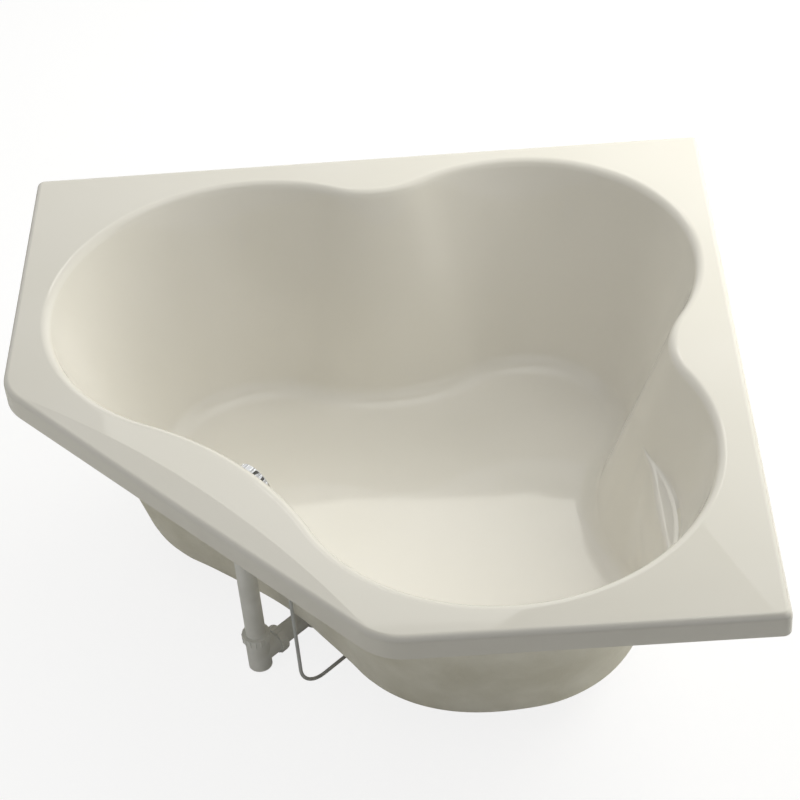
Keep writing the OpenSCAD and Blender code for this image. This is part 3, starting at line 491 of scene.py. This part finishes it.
def pick_only(piece):
    bpy.ops.object.select_all(action="DESELECT")
    piece.select_set(True)
    bpy.context.view_layer.objects.active = piece


overflow_y = front_wall_y + wall_inset(front_lean, overflow_depth) - mid_y
overflow_at = Vector((0, overflow_y, bath_h - overflow_depth))
overflow_turn = Euler((math.radians(front_lean - 90), 0, 0))


def carve(piece, tool):
    """Cuts a tool's shape out of a piece, and deletes the tool."""
    cut = piece.modifiers.new("cut", "BOOLEAN")
    cut.operation = "DIFFERENCE"
    cut.solver = "EXACT"
    cut.object = tool
    pick_only(piece)
    bpy.ops.object.modifier_apply(modifier=cut.name)
    bpy.data.objects.remove(tool)


def cut_overflow_hole(piece, merge=0.05, dissolve=0.02):
    """Bores the overflow's hole, and merges the slivers that the bore leaves along its edge."""
    bpy.ops.object.select_all(action="DESELECT")
    bpy.ops.mesh.primitive_cylinder_add(
        vertices=overflow_hole_sides, radius=overflow_hole_r * MM, depth=overflow_cutter_l * MM,
        location=overflow_at * MM, rotation=overflow_turn)
    carve(piece, bpy.context.object)
    bpy.ops.object.mode_set(mode="EDIT")
    bpy.ops.mesh.select_all(action="SELECT")
    bpy.ops.mesh.remove_doubles(threshold=merge * MM)
    bpy.ops.mesh.dissolve_degenerate(threshold=dissolve * MM)
    bpy.ops.object.mode_set(mode="OBJECT")


def turned(name, profile, steps, merge=0.01):
    """Turns a closed profile of (radius, height) about Z into a closed piece at the origin."""
    points = [Vector((radius, 0, height)) for radius, height in profile]
    piece = mesh_piece(name, points, [])
    piece.data.edges.add(len(points))
    for index, edge in enumerate(piece.data.edges):
        edge.vertices = (index, (index + 1) % len(points))
    pick_only(piece)
    bpy.ops.object.mode_set(mode="EDIT")
    bpy.ops.mesh.select_all(action="SELECT")
    bpy.ops.mesh.spin(steps=steps, angle=math.tau, center=(0, 0, 0), axis=(0, 0, 1))
    bpy.ops.mesh.select_all(action="SELECT")
    bpy.ops.mesh.remove_doubles(threshold=merge * MM)
    bpy.ops.mesh.normals_make_consistent(inside=False)
    bpy.ops.object.mode_set(mode="OBJECT")
    return piece


def rounded_corner(centre, radius, steps):
    """Quarter of a circle from its outermost point to its highest, as points of a profile."""
    turns = [math.radians(90 * step / steps) for step in range(steps + 1)]
    return [(centre[0] + radius * math.cos(turn), centre[1] + radius * math.sin(turn)) for turn in turns]


def round_edges(piece, width, segments, degrees):
    """Bevels the edges that turn by more than some degrees."""
    bevel = piece.modifiers.new("edges", "BEVEL")
    bevel.width = width * MM
    bevel.segments = segments
    bevel.limit_method = "ANGLE"
    bevel.angle_limit = math.radians(degrees)
    bevel.use_clamp_overlap = True
    pick_only(piece)
    bpy.ops.object.modifier_apply(modifier=bevel.name)


def settle(piece, place, turn):
    """Moves a piece that was made at the origin to its place, and leaves its object at the origin."""
    piece.location = place * MM
    piece.rotation_euler = turn
    pick_only(piece)
    bpy.ops.object.transform_apply(location=True, rotation=True, scale=True)


def soften(piece, degrees):
    """Shades a piece smooth, apart from edges that turn by more than some degrees."""
    pick_only(piece)
    bpy.ops.object.shade_smooth_by_angle(angle=math.radians(degrees))


def node(tree, kind, settings=None, links=None):
    """Adds a shader node: settings go on it or on its sockets, links name the sockets that feed it."""
    made = tree.nodes.new(kind)
    for key, value in (settings or {}).items():
        if isinstance(key, str) and hasattr(made, key):
            setattr(made, key, value)
        else:
            made.inputs[key].default_value = value
    for key, source in (links or {}).items():
        tree.links.new(source, made.inputs[key])
    return made


def linear(hex_colour):
    """Linear colour from an sRGB hex value."""
    channels = [int(hex_colour[start:start + 2], 16) / 255 for start in (1, 3, 5)]
    return tuple(level / 12.92 if level <= 0.04045 else ((level + 0.055) / 1.055) ** 2.4
                 for level in channels) + (1.0,)


def per_mm(size):
    """Noise scale, in metres of Object space, whose pattern repeats about every size mm."""
    return 1000 / size


def new_material(name):
    material = bpy.data.materials.new(name)
    material.use_nodes = True
    tree = material.node_tree
    tree.nodes.clear()
    return material, tree


def finish_material(tree, surface):
    node(tree, "ShaderNodeOutputMaterial", links={"Surface": surface})


def tinted(tree, source, low, high, at=(0.35, 0.65)):
    """Colours a pattern from low to high."""
    ramp = node(tree, "ShaderNodeValToRGB", links={"Fac": source})
    ends = ramp.color_ramp.elements
    ends[0].position, ends[1].position = at
    ends[0].color, ends[1].color = linear(low), linear(high)
    return ramp.outputs["Color"]


def biscuit_acrylic():
    """Thermoformed cast acrylic: deep gloss, with the faint long waves that a drawn sheet keeps."""
    material, tree = new_material("biscuit_acrylic")
    place = node(tree, "ShaderNodeTexCoord").outputs["Object"]
    cloud = node(tree, "ShaderNodeTexNoise", {"Scale": per_mm(260), "Detail": 2.0}, {"Vector": place})
    colour = tinted(tree, cloud.outputs["Fac"], "#e8e5dd", "#eae7e0")
    wave = node(tree, "ShaderNodeTexNoise", {"Scale": per_mm(120), "Detail": 1.0}, {"Vector": place})
    swell = node(tree, "ShaderNodeBump", {"Strength": 0.2, "Distance": 0.0005},
                 {"Height": wave.outputs["Fac"]})
    gloss = node(tree, "ShaderNodeBsdfPrincipled", {"Roughness": 0.035, "IOR": 1.49},
                 {"Base Color": colour, "Normal": swell.outputs["Normal"]})
    finish_material(tree, gloss.outputs["BSDF"])
    return material


def sprayed_glassfibre():
    """Chopped glass strand in filled resin, rolled by hand: pale, lumpy and half matt."""
    material, tree = new_material("sprayed_glassfibre")
    place = node(tree, "ShaderNodeTexCoord").outputs["Object"]
    lumps = node(tree, "ShaderNodeTexNoise", {"Scale": per_mm(18), "Detail": 6.0, "Roughness": 0.6},
                 {"Vector": place})
    strands = node(tree, "ShaderNodeTexVoronoi", {"feature": "DISTANCE_TO_EDGE", "Scale": per_mm(9)},
                   {"Vector": place})
    patches = node(tree, "ShaderNodeTexNoise", {"Scale": per_mm(140), "Detail": 4.0}, {"Vector": place})
    colour = tinted(tree, patches.outputs["Fac"], "#d9d5c6", "#ece9de")
    relief = node(tree, "ShaderNodeMath", {"operation": "MULTIPLY_ADD", 1: 0.5},
                  {0: strands.outputs["Distance"], 2: lumps.outputs["Fac"]})
    rough = node(tree, "ShaderNodeBump", {"Strength": 0.7, "Distance": 0.002},
                 {"Height": relief.outputs["Value"]})
    resin = node(tree, "ShaderNodeBsdfPrincipled", {"Roughness": 0.55, "IOR": 1.54},
                 {"Base Color": colour, "Normal": rough.outputs["Normal"]})
    finish_material(tree, resin.outputs["BSDF"])
    return material


def sawn_wood(name, dark, light, along):
    """Sawn softwood or board with its grain along one axis, sealed by a wipe of resin."""
    material, tree = new_material(name)
    place = node(tree, "ShaderNodeTexCoord").outputs["Object"]
    stretch = [per_mm(8)] * 3
    stretch[along] = per_mm(160)
    grain_place = node(tree, "ShaderNodeMapping", {"Scale": stretch}, {"Vector": place})
    grain = node(tree, "ShaderNodeTexNoise", {"Scale": 1.0, "Detail": 6.0, "Roughness": 0.65},
                 {"Vector": grain_place.outputs["Vector"]})
    colour = tinted(tree, grain.outputs["Fac"], dark, light, (0.3, 0.7))
    fuzz = node(tree, "ShaderNodeBump", {"Strength": 0.4, "Distance": 0.0006},
                {"Height": grain.outputs["Fac"]})
    wood = node(tree, "ShaderNodeBsdfPrincipled", {"Roughness": 0.6, "IOR": 1.5},
                {"Base Color": colour, "Normal": fuzz.outputs["Normal"]})
    finish_material(tree, wood.outputs["BSDF"])
    return material


def moulded_plastic(name, low, high, roughness, grit):
    """Injection-moulded or extruded plastic: even colour, with a fine mould texture."""
    material, tree = new_material(name)
    place = node(tree, "ShaderNodeTexCoord").outputs["Object"]
    cloud = node(tree, "ShaderNodeTexNoise", {"Scale": per_mm(40), "Detail": 3.0}, {"Vector": place})
    spark = node(tree, "ShaderNodeTexNoise", {"Scale": per_mm(grit), "Detail": 2.0}, {"Vector": place})
    colour = tinted(tree, cloud.outputs["Fac"], low, high)
    mould = node(tree, "ShaderNodeBump", {"Strength": 0.15, "Distance": 0.0004},
                 {"Height": spark.outputs["Fac"]})
    plastic = node(tree, "ShaderNodeBsdfPrincipled", {"Roughness": roughness, "IOR": 1.5},
                   {"Base Color": colour, "Normal": mould.outputs["Normal"]})
    finish_material(tree, plastic.outputs["BSDF"])
    return material


def worked_metal(name, low, high, roughness, streak):
    """Plated, drawn or turned metal: the streak is the spacing of its tool or buffing marks."""
    material, tree = new_material(name)
    place = node(tree, "ShaderNodeTexCoord").outputs["Object"]
    marks = node(tree, "ShaderNodeTexNoise", {"Scale": per_mm(streak), "Detail": 4.0}, {"Vector": place})
    colour = tinted(tree, marks.outputs["Fac"], low, high)
    matt = node(tree, "ShaderNodeMapRange", {"To Min": roughness * 0.7, "To Max": roughness * 1.3},
                {"Value": marks.outputs["Fac"]})
    metal = node(tree, "ShaderNodeBsdfPrincipled", {"Metallic": 1.0},
                 {"Base Color": colour, "Roughness": matt.outputs["Result"]})
    finish_material(tree, metal.outputs["BSDF"])
    return material


def moulded_rubber():
    """Moulded EPDM: near black, with a dull bloom."""
    material, tree = new_material("moulded_epdm")
    place = node(tree, "ShaderNodeTexCoord").outputs["Object"]
    bloom = node(tree, "ShaderNodeTexNoise", {"Scale": per_mm(12), "Detail": 4.0}, {"Vector": place})
    colour = tinted(tree, bloom.outputs["Fac"], "#1d1d1e", "#2e2d2c")
    epdm = node(tree, "ShaderNodeBsdfPrincipled", {"Roughness": 0.7, "IOR": 1.52}, {"Base Color": colour})
    finish_material(tree, epdm.outputs["BSDF"])
    return material


acrylic = biscuit_acrylic()
fibre = sprayed_glassfibre()
board_wood = sawn_wood("resin_sealed_board", "#b99c6f", "#d8c096", 0)
batten_wood = sawn_wood("sawn_pine", "#c9a874", "#e3c99c", 0)
pipe_pvc = moulded_plastic("moulded_pvc", "#e6e6e2", "#efefec", 0.35, 0.8)
block_pe = moulded_plastic("moulded_polyethylene", "#dcdcd6", "#e8e8e3", 0.5, 1.2)
jacket_pe = moulded_plastic("extruded_cable_jacket", "#bfc1c2", "#cfd1d1", 0.4, 1.0)
chrome = worked_metal("polished_chrome_plate", "#d9dadb", "#e0e1e2", 0.05, 25)
steel = worked_metal("zinc_plated_steel", "#b8babb", "#d5d6d4", 0.32, 3)
brass = worked_metal("turned_brass", "#c79f52", "#dcb970", 0.24, 2)
rubber = moulded_rubber()

finishes = {
    "rim_battens": batten_wood, "base_board": board_wood, "foot_blocks": block_pe, "foot_screws": steel,
    "drain_flange": chrome, "drain_sealing_ring": rubber, "drain_shoe": pipe_pvc, "stopper_cap": chrome,
    "stopper_seal": rubber, "stopper_pin": brass, "lift_lever": brass, "lever_axle": steel,
    "cable_plunger": steel, "waste_tube": pipe_pvc, "waste_tee": pipe_pvc, "overflow_tube": pipe_pvc,
    "overflow_elbow": pipe_pvc, "overflow_gasket": rubber, "overflow_plate": chrome, "plate_screws": chrome,
    "overflow_dial": chrome, "dial_screw": steel, "dial_shaft": brass, "drive_pinion": brass,
    "cable_rack": brass, "housing_cover": pipe_pvc, "cover_screws": steel, "cable_conduit": jacket_pe,
    "conduit_nuts": pipe_pvc, "slip_nuts": pipe_pvc, "slip_washers": rubber,
}


def put_on(piece, material):
    piece.data.materials.clear()
    piece.data.materials.append(material)


for name, material in finishes.items():
    put_on(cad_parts[name], material)


def bath_shell():
    """Acrylic skin, whose face has the facet, the ledge and the floor's fall."""
    piece = skin("bath_shell", face_run, lambda bearing: hidden_run(bearing, acrylic_t, True))
    cut_overflow_hole(piece)
    soften(piece, skin_sharp_turn)
    put_on(piece, acrylic)
    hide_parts("tub_shell")
    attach(piece, "bath")


def fibre_layer():
    """Glass-fibre backing, from the acrylic's back to the skins' full thickness."""
    piece = skin("fibre_layer",
                 lambda bearing: hidden_run(bearing, acrylic_t, False),
                 lambda bearing: hidden_run(bearing, skin_t, False))
    cut_overflow_hole(piece)
    soften(piece, skin_sharp_turn)
    put_on(piece, fibre)
    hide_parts("glassfibre_backing")
    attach(piece, "bath")


def dial_profile():
    """Half section of the dial: a dished cup with a rounded edge and a bored boss."""
    top = dial_gap + dial_h
    ceiling = top - dial_wall
    cup_r = dial_r - dial_wall
    edge = rounded_corner((dial_r - dial_edge_r, top - dial_edge_r), dial_edge_r, dial_edge_steps)
    dish = [(dial_r * out, top - dial_dish * drop) for out, drop in dial_dish_form]
    boss = [(0, ceiling), (shaft_bore_r, ceiling), (shaft_bore_r, dial_gap), (dial_boss_r, dial_gap),
            (dial_boss_r, ceiling)]
    return [(dial_r, dial_gap)] + edge + dish + boss + [(cup_r, ceiling), (cup_r, dial_gap)]


def fluted_dial():
    """Chrome dial with flutes down its side."""
    piece = turned("fluted_dial", dial_profile(), dial_sections)
    reach = dial_r + flute_r - flute_depth
    for flute in range(flute_count):
        centre = aim((flute + 0.5) * 360 / flute_count) * reach
        bpy.ops.object.select_all(action="DESELECT")
        bpy.ops.mesh.primitive_cylinder_add(
            vertices=flute_sides, radius=flute_r * MM, depth=flute_cutter_l * MM,
            location=(centre.x * MM, centre.y * MM, dial_gap * MM))
        carve(piece, bpy.context.object)
    round_edges(piece, dial_bevel, dial_bevel_segments, dial_bevel_turn)
    settle(piece, overflow_at, overflow_turn)
    soften(piece, dial_sharp_turn)
    put_on(piece, chrome)
    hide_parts("overflow_dial")
    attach(piece, "dial")


bath_shell()
fibre_layer()
fluted_dial()

# Studio: places and sizes in metres, lamps in watts
floor_size = 40
floor_gap = 0.0005
floor_glow = 0.84
floor_shade = (0.2, 0.2, 0.2, 1)
air_strength = 0.18
lamp_tint = (1, 0.99, 0.915)
dial_middle = (0, -0.557, 0.436)

# Each lamp's name, place, what it looks at, size and watts, and True where only mirrors show it
lamps = [
    ("back_box", (0.9, 1.5, 2.0), (0.1, 0, 0.4), (1.6, 1.6), 26),
    ("far_back_card", (0, 2.8, 1.6), (0, 0, 0.4), (2.6, 1.6), 50),
    ("left_back_box", (-2.292, 1.175, 2.4), (0, 0, 0.4), (2.2, 1.5), 24),
    ("overhead_box", (0, -0.2, 3.2), (0, -0.2, 0), (3.0, 3.0), 16),
    ("right_card", (2.7, 1.0, 1.6), (0, 0, 0.4), (2.2, 2.2), 4),
    ("front_card", (-0.6, -2.6, 0.6), (0, -0.7, 0.45), (2.4, 1.0), 8),
    ("mirrored_card", (-2.639, 1.855, 3.965), (-1.301, 0.369, 3.965), (1.72, 1.43), 9, True),
    ("mirrored_core", (-2.418, 2.054, 3.565), (-1.080, 0.568, 3.565), (1.125, 0.63), 2.5, True),
    ("mirrored_top", (-0.5, 0.2, 3.0), (-0.2, 0.1, 0), (1.4, 1.4), 5, True),
]

# Each flag's name, place, what it looks at and size
flags = [
    ("high_flag", (0.13, -0.23, 1.47), dial_middle, (0.4, 1.4)),
    ("right_flag", (1.07, -0.06, 1.35), dial_middle, (1.4, 0.4)),
]


def studio_floor():
    """White paper under the bath: the camera sees it glow to near white and still take the shadow."""
    bpy.ops.object.select_all(action="DESELECT")
    bpy.ops.mesh.primitive_plane_add(size=floor_size, location=(0, 0, -floor_gap))
    floor = bpy.context.object
    floor.name = "studio_floor"
    material, tree = new_material("white_paper")
    rays = node(tree, "ShaderNodeLightPath")
    paper = node(tree, "ShaderNodeBsdfDiffuse", {"Color": linear("#f2f2f0")})
    shaded = node(tree, "ShaderNodeBsdfDiffuse", {"Color": floor_shade})
    glow = node(tree, "ShaderNodeEmission", {"Strength": floor_glow})
    seen = node(tree, "ShaderNodeAddShader", links={0: shaded.outputs["BSDF"], 1: glow.outputs["Emission"]})
    both = node(tree, "ShaderNodeMixShader", links={
        "Fac": rays.outputs["Is Camera Ray"], 1: paper.outputs["BSDF"], 2: seen.outputs["Shader"]})
    finish_material(tree, both.outputs["Shader"])
    put_on(floor, material)


def studio_world():
    """Even pale air: white to the camera, to mirrors and through glass, and dimmer as a light."""
    world = bpy.data.worlds.new("studio_air")
    world.use_nodes = True
    tree = world.node_tree
    tree.nodes.clear()
    rays = node(tree, "ShaderNodeLightPath")
    direct = node(tree, "ShaderNodeMath", {"operation": "MAXIMUM"},
                  {0: rays.outputs["Is Camera Ray"], 1: rays.outputs["Is Glossy Ray"]})
    seen = node(tree, "ShaderNodeMath", {"operation": "MAXIMUM"},
                {0: direct.outputs["Value"], 1: rays.outputs["Is Transmission Ray"]})
    level = node(tree, "ShaderNodeMapRange", {"To Min": air_strength, "To Max": 1.0},
                 {"Value": seen.outputs["Value"]})
    air = node(tree, "ShaderNodeBackground", {"Color": (1, 1, 1, 1)}, {"Strength": level.outputs["Result"]})
    node(tree, "ShaderNodeOutputWorld", links={"Surface": air.outputs["Background"]})
    bpy.context.scene.world = world


def turned_to(place, look_at):
    return (Vector(look_at) - Vector(place)).to_track_quat("-Z", "Y").to_euler()


def soft_box(name, place, look_at, size, watts, mirrored=False):
    """Rectangular lamp; a mirrored one gives only the patch of light that glossy surfaces show."""
    light = bpy.data.lights.new(name, "AREA")
    light.shape = "RECTANGLE"
    light.size, light.size_y = size
    light.energy = watts
    light.color = lamp_tint
    lamp = bpy.data.objects.new(name, light)
    lamp.visible_glossy = mirrored
    lamp.visible_diffuse = not mirrored
    lamp.location = place
    lamp.rotation_euler = turned_to(place, look_at)
    bpy.context.scene.collection.objects.link(lamp)


def dark_flag(name, place, look_at, size):
    """Dark studio flag, which only mirrors show: it draws the bars on the dial's chrome."""
    bpy.ops.object.select_all(action="DESELECT")
    bpy.ops.mesh.primitive_plane_add(size=1, location=place, rotation=turned_to(place, look_at))
    flag = bpy.context.object
    flag.name = name
    flag.scale = (size[0], size[1], 1)
    material, tree = new_material(name + "_velvet")
    velvet = node(tree, "ShaderNodeBsdfDiffuse", {"Color": linear("#8a8a88")})
    finish_material(tree, velvet.outputs["BSDF"])
    put_on(flag, material)
    flag.visible_camera = False
    flag.visible_diffuse = False
    flag.visible_shadow = False


studio_floor()
studio_world()
for lamp in lamps:
    soft_box(*lamp)
for flag in flags:
    dark_flag(*flag)

# Camera: where the photograph was taken from, worked out from the rim's five corners
camera_place = (2.452, -2.4057, 3.2351)
camera_turn = (49.208, 4.1365, 44.089)
camera_lens = 103.75
camera = bpy.data.cameras.new("camera")
camera.lens = camera_lens
camera.sensor_width = 36
camera.clip_end = 100
camera_object = bpy.data.objects.new("camera", camera)
camera_object.location = camera_place
camera_object.rotation_euler = Euler([math.radians(degrees) for degrees in camera_turn], "XYZ")
bpy.context.scene.collection.objects.link(camera_object)
bpy.context.scene.camera = camera_object
bpy.context.scene.view_settings.view_transform = "Standard"
